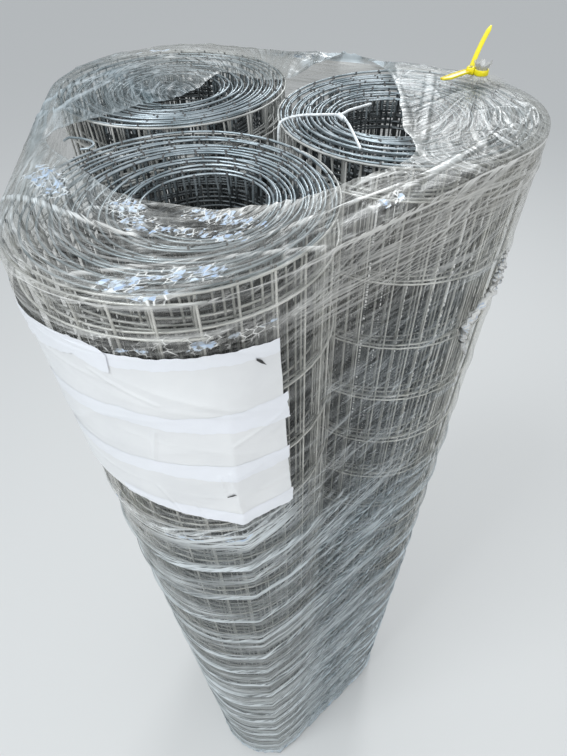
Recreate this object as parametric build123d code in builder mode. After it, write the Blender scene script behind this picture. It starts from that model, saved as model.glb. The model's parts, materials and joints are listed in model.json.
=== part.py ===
"""Three rolls of galvanised welded wire fencing, stood on end and wrapped as one pack.

Millimetres, +Z up. The origin is on the floor, under the middle of the three rolls' outline.
The label faces -Y.
"""

import os
from math import cos, radians, sin

from build123d import *

os.makedirs("parts", exist_ok=True)

# A roll of mesh
roll_length = 1500.0
roll_diameter = 230.0
bore_diameter = 80.0
turns = 17
turn_gap = 1.4
turn_gap_depth = 5.0

# The line wires of a roll's outermost turn, which stand out from its side as rings
mesh_wire = 1.8
line_count = 20
edge_cell = 27.0
end_band = 6.0

# How the three rolls stand
roll_gap = 0.5
pack_angle = 68.0
front_core_shift = 20.0
back_core_shift = 3.0
side_core_shift = -18.0

# Stretch film
film_wall = 0.8
film_clearance = 0.3
film_lip = 45.0
film_floor_gap = 2.0

# Neck of gathered film on the side roll's rim, and the cable tie round it
neck_diameter = 10.0
neck_height = 22.0
neck_angle = 36.0
neck_inset = 20.0
tie_clearance = 0.3
tie_band = 1.3
tie_width = 4.6
tie_lift = 7.0
tie_head_angle = 150.0
tie_head_length = 7.0
tie_head_width = 8.0
tie_head_height = 6.0
tie_tail_length = 58.0
tie_tail_slope = 25.0
tie_tag_length = 36.0
tie_tag_width = 7.0
tie_tag_angle = 214.0

# Paper label on the front roll
label_arc = 118.0
label_angle = 249.0
label_height = 204.0
label_drop = 40.0
label_cut_rise = 60.0
label_cut_arc = 95.0
label_thickness = 0.5
label_clearance = 0.3

# Wire that ties the side roll
wire_diameter = 2.2
wire_clearance = 0.3
wire_angle = 197.0
wire_outer_leg = 70.0
wire_core_inset = 3.0
wire_bend = 6.0

roll_radius = roll_diameter / 2
bore_radius = bore_diameter / 2
film_outside = film_clearance + film_wall


def polar(radius, angle):
    """A point at radius from the origin, at an angle in degrees from +X."""
    return (radius * cos(radians(angle)), radius * sin(radians(angle)))


def roll_centres():
    """Centres of three rolls in a triangle, with their outline's middle on the origin."""
    ring_radius = (roll_diameter + roll_gap) / 3**0.5
    ring = [polar(ring_radius, pack_angle + turn) for turn in (180, 60, -60)]
    xs, ys = zip(*ring)
    middle_x = (min(xs) + max(xs)) / 2
    middle_y = (min(ys) + max(ys)) / 2
    return [(x - middle_x, y - middle_y) for x, y in ring]


centres = roll_centres()
front, back, side = centres


def finish(part, name):
    """Name a finished piece and write it out."""
    part.label = name
    export_step(part, f"parts/{name}.step")
    box = part.bounding_box()
    print(name, round(part.volume / 1000, 1), "cm3, z", round(box.min.Z, 1), "to", round(box.max.Z, 1))


def side_grooves():
    """The lowest and highest height of each groove between two line wires on a roll's side."""
    lowest = end_band + edge_cell
    pitch = (roll_length - edge_cell - lowest) / (line_count - 1)
    wires = [lowest + number * pitch for number in range(line_count)]
    lows = [end_band] + [height + mesh_wire / 2 for height in wires]
    highs = [height - mesh_wire / 2 for height in wires] + [roll_length - end_band]
    return zip(lows, highs)


def make_roll(name, centre, core_shift):
    """A roll with its bore off centre by core_shift, its turns on both ends and line wires on its side."""
    core_x = centre[0] + core_shift
    groove_depth = 2 * mesh_wire
    with BuildPart() as roll:
        with BuildSketch():
            with Locations(centre):
                Circle(roll_radius)
            with Locations((core_x, centre[1])):
                Circle(bore_radius, mode=Mode.SUBTRACT)
        extrude(amount=roll_length)
        with BuildSketch() as gaps:
            for turn in range(turns - 1, 0, -1):
                share = turn / turns
                radius = bore_radius + share * (roll_radius - bore_radius)
                with Locations((core_x - share * core_shift, centre[1])):
                    Circle(radius + turn_gap / 2)
                    Circle(radius - turn_gap / 2, mode=Mode.SUBTRACT)
        extrude(amount=turn_gap_depth, mode=Mode.SUBTRACT)
        with BuildSketch(Plane.XY.offset(roll_length)):
            add(gaps.sketch)
        extrude(amount=-turn_gap_depth, mode=Mode.SUBTRACT)
        with BuildSketch(Plane.XZ.offset(-centre[1])):
            for low, high in side_grooves():
                with Locations((centre[0] + roll_radius, (low + high) / 2)):
                    Rectangle(2 * groove_depth, high - low)
        revolve(axis=Axis((*centre, 0), (0, 0, 1)), mode=Mode.SUBTRACT)
    finish(roll.part, name)


def wrap_outline(height, reach):
    """The outline of a tight wrap round three circles of radius reach, at a height."""
    with BuildSketch(Plane.XY.offset(height)) as outline:
        with Locations(*centres):
            Circle(reach)
        make_hull(outline.edges())
    return outline.sketch


def make_film():
    """The film: a sleeve round all three rolls, a lip over their ends and a gathered neck."""
    lip_top = roll_length + film_outside
    lip_under = roll_length + film_clearance
    with BuildPart() as film:
        add(wrap_outline(film_floor_gap, roll_radius + film_outside))
        extrude(amount=lip_top - film_floor_gap)
        add(wrap_outline(film_floor_gap, roll_radius + film_clearance))
        extrude(amount=lip_under - film_floor_gap, mode=Mode.SUBTRACT)
        add(wrap_outline(lip_under, roll_radius - film_lip))
        extrude(amount=film_wall, mode=Mode.SUBTRACT)
        with BuildSketch(Plane.XY.offset(lip_under)):
            with Locations(neck_centre):
                Circle(neck_diameter / 2)
        extrude(amount=film_wall + neck_height)
    finish(film.part, "stretch_film")


def make_cable_tie():
    """A cable tie: a closed band round the neck of film, its head with a flat tag, and its free tail."""
    band_inside = neck_diameter / 2 + tie_clearance
    band_outside = band_inside + tie_band
    band_bottom = roll_length + film_outside + tie_lift
    head_reach = band_outside + tie_head_length
    out = Vector(*polar(1, tie_head_angle))
    along = Vector(*polar(1, tie_head_angle - 90))
    rise = polar(1, tie_tail_slope)
    tail_run = along * rise[0] + Vector(0, 0, rise[1])
    middle = Vector(*neck_centre, band_bottom + tie_width / 2)
    with BuildPart() as tie:
        with BuildSketch(Plane.XY.offset(band_bottom)):
            with Locations(neck_centre):
                Circle(band_outside)
        extrude(amount=tie_width)
        head_plane = Plane(origin=middle, x_dir=out, z_dir=(0, 0, 1))
        with BuildSketch(head_plane.offset(-tie_head_height / 2)):
            with Locations(((band_inside + head_reach) / 2, 0)):
                Rectangle(head_reach - band_inside, tie_head_width)
        extrude(amount=tie_head_height)
        head_middle = middle + out * (head_reach - tie_head_length / 2)
        with BuildSketch(Plane(origin=head_middle, x_dir=out, z_dir=tail_run)):
            Rectangle(tie_width, tie_band)
        extrude(amount=tie_tail_length)
        tag_run = Vector(*polar(1, tie_tag_angle))
        tag_side = tie_tag_width / 2
        tag_plane = Plane(origin=head_middle, x_dir=tag_run, z_dir=(0, 0, 1))
        with BuildSketch(tag_plane.offset(-tie_band / 2)):
            with BuildLine():
                tag_tip = (tie_tag_length, -tag_side)
                tag_corner = (tie_tag_length - tie_tag_width, tag_side)
                Polyline((0, tag_side), tag_corner, tag_tip, (0, -tag_side), close=True)
            make_face()
        extrude(amount=tie_band)
        with BuildSketch(Plane.XY.offset(band_bottom - tie_head_height)):
            with Locations(neck_centre):
                Circle(band_inside)
        extrude(amount=tie_width + 2 * tie_head_height, mode=Mode.SUBTRACT)
    finish(tie.part, "cable_tie")


def make_label():
    """The paper label: a sheet bent round the front roll, its lower edge cut up to the left."""
    inside = roll_radius + film_outside + label_clearance
    outside = inside + label_thickness
    top = roll_length - label_drop
    bottom = top - label_height
    left_angle = label_angle - label_arc / 2
    cut_start = front[0] + polar(inside, left_angle + label_cut_arc)[0]
    cut_end = front[0] - outside
    outward = (*polar(1, left_angle), 0)
    across = (*polar(1, left_angle - 90), 0)
    with BuildPart() as label:
        with BuildSketch(Plane(origin=(*front, 0), x_dir=outward, z_dir=across)):
            with Locations(((inside + outside) / 2, (top + bottom) / 2)):
                Rectangle(label_thickness, label_height)
        revolve(axis=Axis((*front, 0), (0, 0, 1)), revolution_arc=label_arc)
        with BuildSketch(Plane.XZ.offset(-front[1])):
            with BuildLine():
                cut_top = (cut_end, bottom + label_cut_rise)
                Polyline((cut_start, bottom), cut_top, (cut_end, bottom), close=True)
            make_face()
        extrude(amount=outside, mode=Mode.SUBTRACT)
    finish(label.part, "paper_label")


def make_tie_wire():
    """A wire hooked over the side roll's turns, from the outside to the edge of the bore."""
    radius = wire_diameter / 2
    along, across = polar(1, wire_angle)
    bore_edge = side_core_shift * along + (bore_radius**2 - (side_core_shift * across) ** 2) ** 0.5
    outer = roll_radius + radius + wire_clearance
    inner = bore_edge + wire_core_inset
    inner_end = roll_length + wire_clearance
    over = inner_end + wire_bend + radius
    upright = Plane(origin=(*side, 0), x_dir=(along, across, 0), z_dir=(across, -along, 0))
    with BuildPart() as wire:
        with BuildLine(upright) as route:
            FilletPolyline(
                (outer, roll_length - wire_outer_leg),
                (outer, over),
                (inner, over),
                (inner, inner_end),
                radius=wire_bend,
            )
        with BuildSketch(Plane(origin=route.line @ 0, z_dir=route.line % 0)):
            Circle(radius)
        sweep()
    finish(wire.part, "tie_wire")


neck_reach = roll_radius - neck_inset
neck_offset = polar(neck_reach, neck_angle)
neck_centre = (side[0] + neck_offset[0], side[1] + neck_offset[1])

make_roll("roll_front", front, front_core_shift)
make_roll("roll_back", back, back_core_shift)
make_roll("roll_side", side, side_core_shift)
make_film()
make_cable_tie()
make_label()
make_tie_wire()
print("roll centres", [tuple(round(value, 2) for value in centre) for centre in centres])
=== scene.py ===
# %% [markdown]
# # A wrapped pack of wire fencing
# Three rolls of galvanised welded mesh stand on end with clear stretch film wound round them. The solids
# give each roll's place and size. Here every wire, fold of film and strip of tape is made as a mesh.

# %% Load the solids
import json
import math
from functools import partialmethod

import bpy
import numpy as np
from mathutils import Matrix, Vector


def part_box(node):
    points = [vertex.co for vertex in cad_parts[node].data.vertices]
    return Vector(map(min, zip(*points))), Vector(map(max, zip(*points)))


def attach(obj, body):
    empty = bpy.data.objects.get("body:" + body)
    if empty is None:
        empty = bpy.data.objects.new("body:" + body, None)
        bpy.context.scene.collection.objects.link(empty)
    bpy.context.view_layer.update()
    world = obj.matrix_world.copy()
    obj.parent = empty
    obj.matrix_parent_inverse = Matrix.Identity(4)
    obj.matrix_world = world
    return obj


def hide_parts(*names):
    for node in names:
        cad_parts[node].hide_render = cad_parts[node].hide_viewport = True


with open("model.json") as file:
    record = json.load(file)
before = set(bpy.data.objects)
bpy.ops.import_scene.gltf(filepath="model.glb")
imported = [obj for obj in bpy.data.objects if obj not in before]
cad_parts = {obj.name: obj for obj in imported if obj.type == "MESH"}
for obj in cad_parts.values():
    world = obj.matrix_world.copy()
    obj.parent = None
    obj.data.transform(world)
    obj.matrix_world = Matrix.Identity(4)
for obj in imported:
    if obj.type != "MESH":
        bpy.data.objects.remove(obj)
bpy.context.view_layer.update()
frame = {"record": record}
bores = {m["name"]: m for m in frame["record"]["mounts"] if m["kind"] == "bore"}

# %% [markdown]
# ## The camera
# The picture was taken with a wide lens, held just above the rolls and pitched down. So the top is huge
# and the foot is small. The lens is given by its focal length in pixels: how far from the middle of the
# picture a point shows up that lies 45 degrees off the line of sight.

# %% Place the camera
photo_width = 567
focal_pixels = 513.6
camera_place = Vector((-0.006, -0.4405, 1.666))
camera_pitch = math.radians(46.87)
camera_roll = math.radians(-1.64)


def placed(name, data):
    """A new object in the scene."""
    thing = bpy.data.objects.new(name, data)
    bpy.context.collection.objects.link(thing)
    return thing


camera_data = bpy.data.cameras.new("camera")
camera_data.sensor_fit = "HORIZONTAL"
camera_data.sensor_width = 36
camera_data.lens = focal_pixels / photo_width * camera_data.sensor_width
camera_data.clip_start = 0.01
camera = placed("camera", camera_data)
tilt = Matrix.Rotation(math.pi / 2 - camera_pitch, 4, "X") @ Matrix.Rotation(camera_roll, 4, "Z")
camera.matrix_world = Matrix.Translation(camera_place) @ tilt
scene = bpy.context.scene
scene.camera = camera
print("lens", round(camera_data.lens, 1), "mm, pitched down", round(math.degrees(camera_pitch), 1))

# %% [markdown]
# ## Finishes
# Every finish here is a node material that reads noises, so it looks right from near and far and needs no
# picture file. Node trees are long to write out, so there is a small workbench for them. On it, an amount
# is something that the finish works out at each point, and plain sums with amounts make the nodes.

# %% Amounts
class Amount:
    """A number or a colour that a finish works out at each point."""

    def __init__(self, finish, socket):
        self.finish = finish
        self.socket = socket

    def worked(self, kind, other=0):
        """The outcome of a Math node on this amount and another one or a number."""
        return self.finish.node("Math", {0: self, 1: other}, operation=kind)

    __add__ = partialmethod(worked, "ADD")
    __sub__ = partialmethod(worked, "SUBTRACT")
    __mul__ = partialmethod(worked, "MULTIPLY")
    __truediv__ = partialmethod(worked, "DIVIDE")
    most = partialmethod(worked, "MAXIMUM")
    size = partialmethod(worked, "ABSOLUTE")
    fraction = partialmethod(worked, "FRACT")

    def ranged(self, low, high, to_low=0, to_high=1):
        """This amount mapped from one range to another and kept inside it."""
        limits = {"From Min": low, "From Max": high, "To Min": to_low, "To Max": to_high}
        return self.finish.node("MapRange", {"Value": self, **limits})

    def clamped(self):
        """This sum, kept between 0 and 1."""
        self.socket.node.use_clamp = True
        return self


# %% A workbench for node materials
class Finish:
    """The nodes of a material or of the world, and the steps that add to them."""

    def __init__(self, owner, surface="Principled BSDF"):
        owner.use_nodes = True
        self.owner = owner
        self.tree = owner.node_tree
        self.surface = self.tree.nodes[surface]

    def join(self, value, socket):
        """Link an amount to a socket, or set the socket to a number or a colour."""
        if isinstance(value, Amount):
            self.tree.links.new(value.socket, socket)
        else:
            socket.default_value = (*value, 1) if isinstance(value, tuple) else value

    def node(self, kind, inputs=None, output=0, **settings):
        """What comes out of a new node with these settings and inputs."""
        node = self.tree.nodes.new("ShaderNode" + kind)
        for setting, value in settings.items():
            setattr(node, setting, value)
        for socket, value in (inputs or {}).items():
            self.join(value, node.inputs[socket])
        return Amount(self, node.outputs[output])

    def place(self):
        """Where a point of the piece is, in metres."""
        return self.node("TexCoord", output="Object")

    def stored(self, name, output="Fac"):
        """Values stored on the mesh."""
        return self.node("Attribute", output=output, attribute_name=name)

    def split(self, value, kind="XYZ"):
        """The three parts of a place or of a colour."""
        first = self.node("Separate" + kind, {0: value})
        return [Amount(self, socket) for socket in first.socket.node.outputs]

    def noise(self, place, scale, detail=3, roughness=0.5):
        """A noise that changes from place to place."""
        grain = {"Scale": scale, "Detail": detail, "Roughness": roughness}
        return self.node("TexNoise", {"Vector": place, **grain}, "Fac")

    def blended(self, factor, first, second):
        """A colour between two others."""
        return self.node("Mix", {"Factor": factor, "A": first, "B": second}, "Result", data_type="RGBA")

    def bump(self, height, strength, distance):
        """The way a surface with small heights faces."""
        return self.node("Bump", {"Height": height, "Strength": strength, "Distance": distance})

    def made(self, values):
        """The material or the world, once its surface has these values."""
        for socket, value in values.items():
            self.join(value, self.surface.inputs[socket])
        return self.owner


def new_finish(name):
    """A finish for a new material."""
    return Finish(bpy.data.materials.new(name))


# %% [markdown]
# ## The studio
# A pale floor, a pale surround that is brighter overhead, and three soft lamps. The surround gives the
# wires something to mirror, and the lamps make the bright glints without which clear film can't be seen.

# %% Surround, floor and lamps
scene.view_settings.view_transform = "Standard"

surround = Finish(bpy.data.worlds.new("studio"), "Background")
_, _, overhead = surround.split(surround.node("TexCoord", output="Generated"))
brightness = overhead.ranged(0, 0.9, 0.46, 0.92)
scene.world = surround.made({"Color": (0.84, 0.89, 0.94), "Strength": brightness})


def lay_floor(reach):
    """A wide pale floor."""
    mesh = bpy.data.meshes.new("studio_floor")
    corners = [(-reach, -reach, 0), (reach, -reach, 0), (reach, reach, 0), (-reach, reach, 0)]
    mesh.from_pydata(corners, [], [(0, 1, 2, 3)])
    finish = new_finish("pale_floor")
    mesh.materials.append(finish.made({"Base Color": (0.66, 0.655, 0.64), "Roughness": 0.7}))
    placed("studio_floor", mesh)


def soft_lamp(name, place, aim, size, power, colour=(1, 1, 1)):
    """A square lamp at a place, turned towards a point."""
    data = bpy.data.lights.new(name, "AREA")
    data.size = size
    data.energy = power
    data.color = colour
    lamp = placed(name, data)
    lamp.location = place
    lamp.rotation_euler = (Vector(aim) - Vector(place)).to_track_quat("-Z", "Y").to_euler()


lay_floor(40.0)
soft_lamp("sky_lamp", (-1.3, -0.9, 3.4), (0, 0, 1.2), 0.8, 38, (0.90, 0.96, 1.0))
soft_lamp("front_lamp", (0.9, -2.7, 2.3), (0, 0, 0.8), 0.7, 27)
soft_lamp("back_lamp", (0.8, 2.4, 2.8), (0, 0, 1.2), 0.8, 26, (0.95, 0.98, 1.0))

# %% [markdown]
# ## Wire as a mesh
# Every wire is a thin tube. A curve object with a bevel would do for one wire, but a roll has hundreds, so
# rings of points are placed along each path with numpy and joined into one mesh for the whole roll.

# %% A tube along a path
full_turn = 2 * math.pi


def skin(rings):
    """Vertices and faces of a closed tube through rings of points."""
    count, sides = rings.shape[:2]
    corner = np.arange(count * sides).reshape(-1, sides)
    beside = np.roll(corner, -1, axis=1)
    quads = np.stack([corner[:-1], corner[1:], beside[1:], beside[:-1]], axis=-1).reshape(-1, 4)
    return rings.reshape(-1, 3), quads.tolist() + [corner[0].tolist(), corner[-1][::-1].tolist()]


def unit(vectors):
    """Vectors made one long."""
    return vectors / np.linalg.norm(vectors, axis=-1, keepdims=True)


def wire_tube(points, radius, sides=5, hint=(0.0, 0.0, 1.0)):
    """Vertices and faces of a round wire along points. hint is a direction the wire never runs in."""
    points = np.asarray(points, float)
    along = unit(np.gradient(points, axis=0))
    across = unit(np.cross(along, hint))
    up = np.cross(across, along)
    turn = np.linspace(0, full_turn, sides, endpoint=False)[:, None]
    spokes = across[:, None] * np.cos(turn) + up[:, None] * np.sin(turn)
    reach = np.broadcast_to(radius, len(points))[:, None, None]
    return skin(points[:, None] + reach * spokes)


def run_along(points):
    """How far along their path points lie from the first one."""
    return np.concatenate([[0], np.cumsum(np.linalg.norm(np.diff(points, axis=0), axis=1))])


def smooth_path(corners, count):
    """Points along a curve through corners."""
    corners = np.asarray(corners, float)
    steps = run_along(corners)
    at = np.linspace(0, steps[-1], count)
    path = np.column_stack([np.interp(at, steps, column) for column in corners.T])
    for _ in range(max(1, count // 12)):
        path[1:-1] = (path[:-2] + 2 * path[1:-1] + path[2:]) / 4
    return path


def new_piece(name, node, parts, materials):
    """One object from (vertices, faces) pairs, in a node's place. A third item picks materials."""
    faces, chosen, first = [], [], 0
    for vertices, part_faces, *picked in parts:
        faces += [[first + corner for corner in face] for face in part_faces]
        chosen += picked[0] if picked else [0] * len(part_faces)
        first += len(vertices)
    mesh = bpy.data.meshes.new(name)
    mesh.from_pydata(np.concatenate([part[0] for part in parts]).tolist(), [], faces)
    mesh.polygons.foreach_set("use_smooth", [True] * len(faces))
    for material in materials:
        mesh.materials.append(material)
    mesh.polygons.foreach_set("material_index", chosen)
    mesh.update()
    piece = placed(name, mesh)
    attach(piece, "root")
    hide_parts(node)
    print(name, "triangles", sum(len(face) - 2 for face in faces))
    return piece


# %% [markdown]
# ## Galvanised wire
# Zinc is a dull, slightly blue metal. It mirrors softly, and its shine changes along the wire where the
# bath left it thinner or where it has weathered. A broad noise makes dull and bright lengths, and a fine
# one the crystals. Inner turns get a much darker copy of the zinc, which is painted shade, and the outer
# turns get lighter copies, which are painted light. The wires' cut ends have no zinc on them.

# %% Galvanised finish
def galvanised_finish(name, dull_colour, bright_colour, metallic):
    """Blue-grey zinc with brighter and duller lengths."""
    zinc = new_finish(name)
    place = zinc.place()
    lengths = zinc.noise(place, 38, 4).ranged(0.35, 0.65)
    crystals = zinc.noise(place, 240, 2).ranged(0.3, 0.7, 0.34, 0.56)
    colour = zinc.blended(lengths, dull_colour, bright_colour)
    return zinc.made({"Base Color": colour, "Roughness": crystals, "Metallic": metallic})


def cut_steel_finish():
    """Dark bare steel with a little rust."""
    steel = new_finish("cut_steel")
    spots = steel.noise(steel.place(), 700).ranged(0.4, 0.6)
    colour = steel.blended(spots, (0.07, 0.075, 0.08), (0.16, 0.155, 0.15))
    return steel.made({"Base Color": colour, "Roughness": 0.6, "Metallic": 0.5})


# The last three are lit and shaded copies of the zinc: a darker one for inner turns is painted shade, and
# two lighter ones for the outer turns are painted light.
wire_finishes = [
    galvanised_finish("galvanised_zinc", (0.235, 0.28, 0.30), (0.48, 0.53, 0.555), 0.75),
    cut_steel_finish(),
    galvanised_finish("zinc_painted_shade", (0.055, 0.062, 0.066), (0.17, 0.185, 0.19), 0.6),
    galvanised_finish("zinc_half_painted_light", (0.34, 0.345, 0.33), (0.59, 0.59, 0.565), 0.4),
    galvanised_finish("zinc_painted_light", (0.50, 0.50, 0.475), (0.80, 0.795, 0.76), 0.35),
]
main_zinc, cut_end, shaded_inner_zinc, half_lit_next_zinc, lit_outer_zinc = range(5)
print("wire finishes", [material.name for material in wire_finishes])

# %% [markdown]
# ## How the mesh is rolled up
# Seen from above, the mesh follows a spiral from the core to the outside. A perfect spiral looks like a
# machine part, so the turns crowd in some places, the core is off the middle, the roll is a little oval,
# and the outer turns stand a few millimetres higher than the core.

# %% The spiral of one roll
turns = 17
wire_radius = 0.0009
full_winding = full_turn * turns
highest_slide = 0.0064
roll_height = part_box("roll_front")[1][2]


def towards(angle):
    """Level directions at angles, seen from above."""
    return np.stack([np.cos(angle), np.sin(angle)], axis=-1)


class RollSpiral:
    """The line that one roll's mesh follows from its core to its outer end."""

    def __init__(self, node, outer_end, seed, flap):
        low, high = (Vector(corner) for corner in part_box(node))
        bore = bores[node.replace("roll", "bore")]
        self.centre = np.array([(low.x + high.x) / 2, (low.y + high.y) / 2])
        self.radius = (high.x - low.x) / 2
        self.core = np.array(bore["pos_m"][:2])
        self.core_radius = bore["dims"]["r_mm"] / 1000
        self.outer_end = math.radians(outer_end)
        self.flap = flap
        self.random = np.random.default_rng(seed)
        self.phase = self.random.uniform(0, full_turn, 12)

    def share(self, winding):
        """How far out the mesh is after so much winding, from 0 at the core to 1, with crowded turns."""
        even = winding / full_winding
        crowd = 0.012 * np.sin(full_turn * 2.3 * even + self.phase[0])
        crowd += 0.007 * np.sin(full_turn * 5.2 * even + self.phase[1])
        return np.clip(even + crowd * np.sin(np.pi * even), 0, 1)

    def place(self, winding, inwards=0.0):
        """Points of the spiral in plan, moved in by a distance."""
        winding = np.asarray(winding, float)
        phase = self.phase
        out = self.share(winding)
        angle = self.outer_end - full_winding + winding
        inner = self.core_radius + 2.6 * wire_radius
        outer = self.radius - 2.2 * wire_radius
        slow = full_turn * out
        oval = 0.6 * np.sin(2 * angle + phase[2] + 1.4 * np.sin(slow + phase[8]))
        oval += 0.45 * np.sin(3 * angle + phase[3] + 1.8 * np.sin(1.7 * slow + phase[9]))
        oval += 0.3 * np.sin(5 * angle + phase[4] + 2.5 * np.sin(2.3 * slow + phase[10]))
        bunch = 0.75 * np.sin(2.31 * winding + phase[5]) + 0.5 * np.sin(3.43 * winding + phase[11])
        radius = inner + out * (outer - inner)
        radius = radius + 0.001 * oval * np.sin(np.pi * (0.15 + 0.85 * out)) ** 0.5
        radius = radius + 0.001 * bunch * np.sin(np.pi * out) ** 0.7 - inwards
        near_end = np.clip((winding - full_winding + 0.7) / 0.7, 0, 1)
        radius = radius + self.flap * near_end**2
        middle = self.core + out[..., None] * (self.centre - self.core)
        return middle + radius[..., None] * towards(angle)

    def rise(self, winding):
        """How much higher than its lowest place the mesh stands, from the turns that slid along."""
        winding = np.asarray(winding, float)
        out = winding / full_winding
        slide = 0.0040 * out**1.2 + 0.0012 * np.sin(winding * 0.37 + self.phase[6])
        return np.clip(slide + 0.0010 * np.sin(winding * 1.31 + self.phase[7]) + 0.001, 0, highest_slide)


# %% Three rolls
# For each roll: the way its outer end faces, the seed of its unevenness, and how far that end springs out
roll_facts = {"roll_front": (285, 3, 0.0035), "roll_back": (150, 5, 0.0), "roll_side": (20, 8, 0.0)}
rolls = {node: RollSpiral(node, *facts) for node, facts in roll_facts.items()}
front_roll, side_roll = rolls["roll_front"], rolls["roll_side"]
print("roll height", round(roll_height, 3), "cores", [r.core.round(3).tolist() for r in rolls.values()])

# %% [markdown]
# ## The wires of a roll
# The long line wires run round with the turns, closer together at both edges of the mesh. The cross wires
# stand upright on their inside and are cut off just past the outer line wires, which gives the row of
# small dark stubs on each end of the roll.

# %% Line wires
# Turns with painted light: the outermost ones fully, the next ones half.
lit_turns = 1.3
half_lit_turns = 4.6
cross_step = 0.025
edge_step = 0.025
line_gaps = 19
stub = 0.0016
mesh_bottom = 0.0017
slide_room = 0.0095  # the mesh is this much lower than the roll, because its turns stand unevenly
mesh_height = roll_height - slide_room
line_step = (mesh_height - 2 * edge_step) / line_gaps
line_heights = [0.0] + [edge_step + k * line_step for k in range(line_gaps + 1)] + [mesh_height]
line_heights = np.array(line_heights) + mesh_bottom + wire_radius


def finish_at(winding):
    """Which finish the wires have after so much winding: painted light on the outer turns, painted shade
    inside.
    """
    from_outside = (full_winding - winding) / full_turn
    half = np.where(from_outside < half_lit_turns, half_lit_next_zinc, shaded_inner_zinc)
    return np.where(from_outside < lit_turns, lit_outer_zinc, half)


def line_wires(spiral):
    """All line wires of a roll. The three that show on its upper end are the smoothest."""
    wires = []
    last = len(line_heights) - 1
    for number, height in enumerate(line_heights):
        sides, steps = (6, 56) if number >= last - 2 else (5, 36)
        winding = np.linspace(0, full_winding, turns * steps + 1)
        path = np.column_stack([spiral.place(winding), height + spiral.rise(winding)])
        vertices, faces = wire_tube(path, wire_radius, sides)
        finish = finish_at(winding[1:])
        # The end line wires get no painted shade: they get the plain zinc, or the half-lit copy on the outer
        # turns.
        if number in (0, last):
            finish = np.where(finish == lit_outer_zinc, half_lit_next_zinc, main_zinc)
        wires.append((vertices, faces, np.repeat(finish, sides).tolist() + [cut_end] * 2))
    return wires


print(len(line_heights), "line wires,", round(line_step, 4), "m apart")

# %% Cross wires
# The upper end of each cross wire is left out of the painted shade, since light falls on the roll's end.
lit_upper_end = 0.016


def cross_wires(spiral):
    """The upright wires, one at each step along the mesh, a little uneven, with dark cut ends."""
    fine = np.linspace(0, full_winding, turns * 90)
    length = run_along(spiral.place(fine))
    stations = np.interp(np.arange(cross_step / 2, length[-1], cross_step), length, fine)
    wires = []
    for winding in stations:
        x, y = spiral.place(winding, inwards=1.9 * wire_radius)
        low = mesh_bottom - stub + float(spiral.rise(winding)) + wire_radius
        top = low + mesh_height + 2 * stub
        lean = spiral.random.normal(0, 0.0005, (4, 2))
        heights = [low, top - lit_upper_end, top - wire_radius - stub, top]
        path = [(x + lean[min(i, 2), 0], y + lean[min(i, 2), 1], height) for i, height in enumerate(heights)]
        vertices, faces = wire_tube(path, wire_radius, hint=(1.0, 0.0, 0.0))
        # Inner cross wires get the plain zinc on their upper end instead of the painted shade.
        finish = int(finish_at(winding))
        upper = main_zinc if finish == shaded_inner_zinc else finish
        # Five faces round the wire, five round its upper end, and the stub's five with both caps
        wires.append((vertices, faces, [finish] * 5 + [upper] * 5 + [cut_end] * 7))
    return wires, length[-1]


for node, spiral in rolls.items():
    uprights, mesh_length = cross_wires(spiral)
    new_piece(node + "_wires", node, line_wires(spiral) + uprights, wire_finishes)
    print(node, "mesh", round(mesh_length, 2), "m long,", len(uprights), "cross wires")

# %% [markdown]
# ## The line that the film follows
# Tight film round three rolls runs straight from roll to roll and bends only where it lies on one. That is
# the convex hull of their circles. The mesh's outer end on the front roll springs out a little, and
# makes the upright crease in the film, so a second outline has a small circle there.

# %% Outlines of the wrap
def hull_reach(circles):
    """The hull of circles (x, y, radius) as a function: the distance to it from the origin, by angle."""
    circles = np.array(circles)
    normal = towards(np.radians(np.arange(0, 360, 0.5)))
    support = normal @ circles[:, :2].T + circles[:, 2]
    widest = circles[np.argmax(support, axis=1)]
    touch = widest[:, :2] + widest[:, 2:] * normal
    steps = np.linspace(0, 1, 24, endpoint=False)[:, None, None]
    line = (touch + steps * (np.roll(touch, -1, axis=0) - touch)).transpose(1, 0, 2).reshape(-1, 2)
    angle = np.arctan2(line[:, 1], line[:, 0])
    order = np.argsort(angle)
    reach = np.hypot(line[:, 0], line[:, 1])
    return lambda a: np.interp(a, angle[order], reach[order], period=full_turn)


film_gap = 0.0009
crease_size = 0.002
end_stands_out = 0.0045
crease_out = front_roll.radius + end_stands_out + film_gap - crease_size
crease_place = front_roll.centre + crease_out * towards(front_roll.outer_end)
wrap_circles = [(*spiral.centre, spiral.radius + film_gap) for spiral in rolls.values()]
plain_reach = hull_reach(wrap_circles)
creased_reach = hull_reach(wrap_circles + [(*crease_place, crease_size)])
print("crease in the film at", crease_place.round(3).tolist())

# %% The way along the film
fine_angle = np.linspace(0, full_turn, 4001)
fine_line = plain_reach(fine_angle)[:, None] * towards(fine_angle)
fine_run = run_along(fine_line)
film_round = fine_run[-1]


def angle_at(run):
    """The angle seen from the middle of the pack, after so many metres along the film."""
    return np.interp(np.mod(run, film_round), fine_run, fine_angle)


def run_at(roll, degrees):
    """How far along the film a point lies that faces an angle on a roll's side."""
    place = roll.centre + roll.radius * towards(np.radians(degrees))
    return np.interp(np.arctan2(place[..., 1], place[..., 0]) % full_turn, fine_angle, fine_run)


print("film once round", round(film_round, 3), "m")

# %% [markdown]
# ## Folds
# Stretched film folds into long ridges that run with the pull, and slack film crumples into crossing
# creases. Both come from sums of waves. All wave lengths fit the way round a whole number of times, so the
# sheet closes without a seam.

# %% Ridges and creases
waves_in_ridges = 9


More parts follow.
